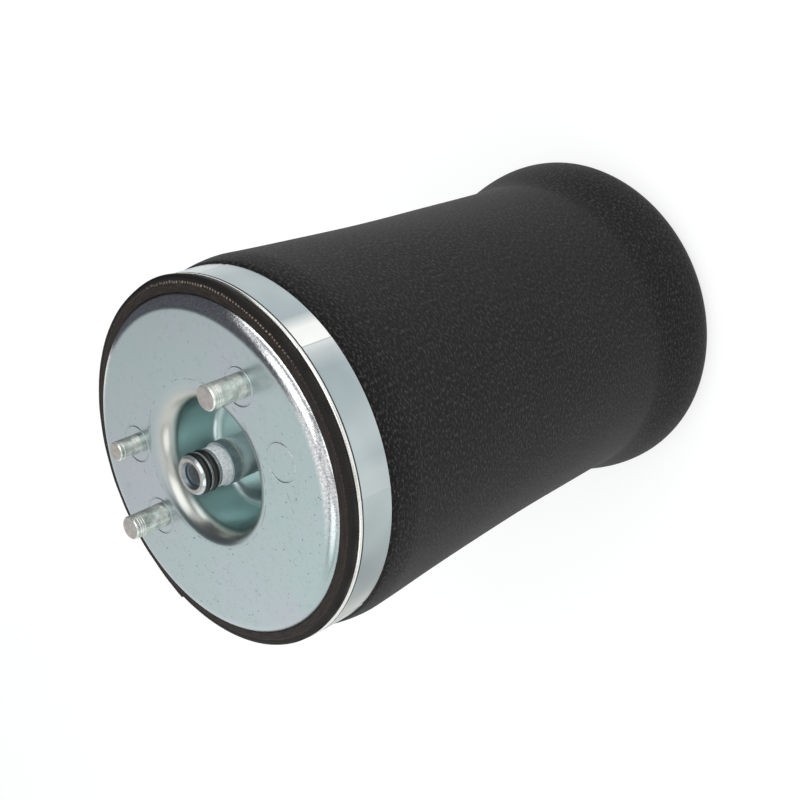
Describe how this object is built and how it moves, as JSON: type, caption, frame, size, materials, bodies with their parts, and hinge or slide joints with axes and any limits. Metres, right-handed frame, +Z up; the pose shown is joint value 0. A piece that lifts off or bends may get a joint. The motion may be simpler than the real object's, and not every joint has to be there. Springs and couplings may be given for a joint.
{
  "type": "air suspension bellows",
  "caption": "Rolling-lobe air spring: steel top plate with air nozzle and pins, crimped rubber sleeve rolled onto a hidden ribbed piston.",
  "frame": {"origin": "on the axis, at the bottom of the rolled lobe that the part stands on", "axes": "+Z up the spring's axis towards the top plate; +X on the side of the longer pin pair's outer pin"},
  "size_m": [0.1568, 0.1568, 0.2648],
  "materials": {
    "zinc_plate": "satin zinc plating",
    "pin_steel": "bright zinc plating",
    "nozzle_steel": "turned, zinc plated",
    "crimp_steel": "bright zinc plating",
    "o_ring_rubber": "smooth nitrile",
    "sleeve_rubber": "matte with a fine fabric grain",
    "piston_nylon": "moulded glass-filled nylon",
    "bump_foam": "closed-cell polyurethane foam"
  },
  "bodies": {
    "upper_mount": {"top_plate": "zinc_plate", "long_pin_a": "pin_steel", "long_pin_b": "pin_steel", "short_pin": "pin_steel", "air_nozzle": "nozzle_steel", "nozzle_o_ring_outer": "o_ring_rubber", "nozzle_o_ring_inner": "o_ring_rubber", "nozzle_seal": "o_ring_rubber", "nozzle_nut": "nozzle_steel", "upper_crimp_ring": "crimp_steel", "bellows_sleeve": "sleeve_rubber"},
    "rolling_piston": {"piston": "piston_nylon", "lower_crimp_ring": "crimp_steel", "mount_insert": "nozzle_steel", "bump_stop": "bump_foam", "bump_stop_cup": "zinc_plate", "bump_stop_screw": "pin_steel"}
  },
  "joints": [
    {"name": "piston_stroke", "type": "slide", "parent": "upper_mount", "child": "rolling_piston", "axis": [0, 0, 1], "range_m": [-0.06, 0.048], "stiffness_N_per_m": 3000, "springref_m": 0.0026, "deforming": ["bellows_sleeve"]}
  ]
}
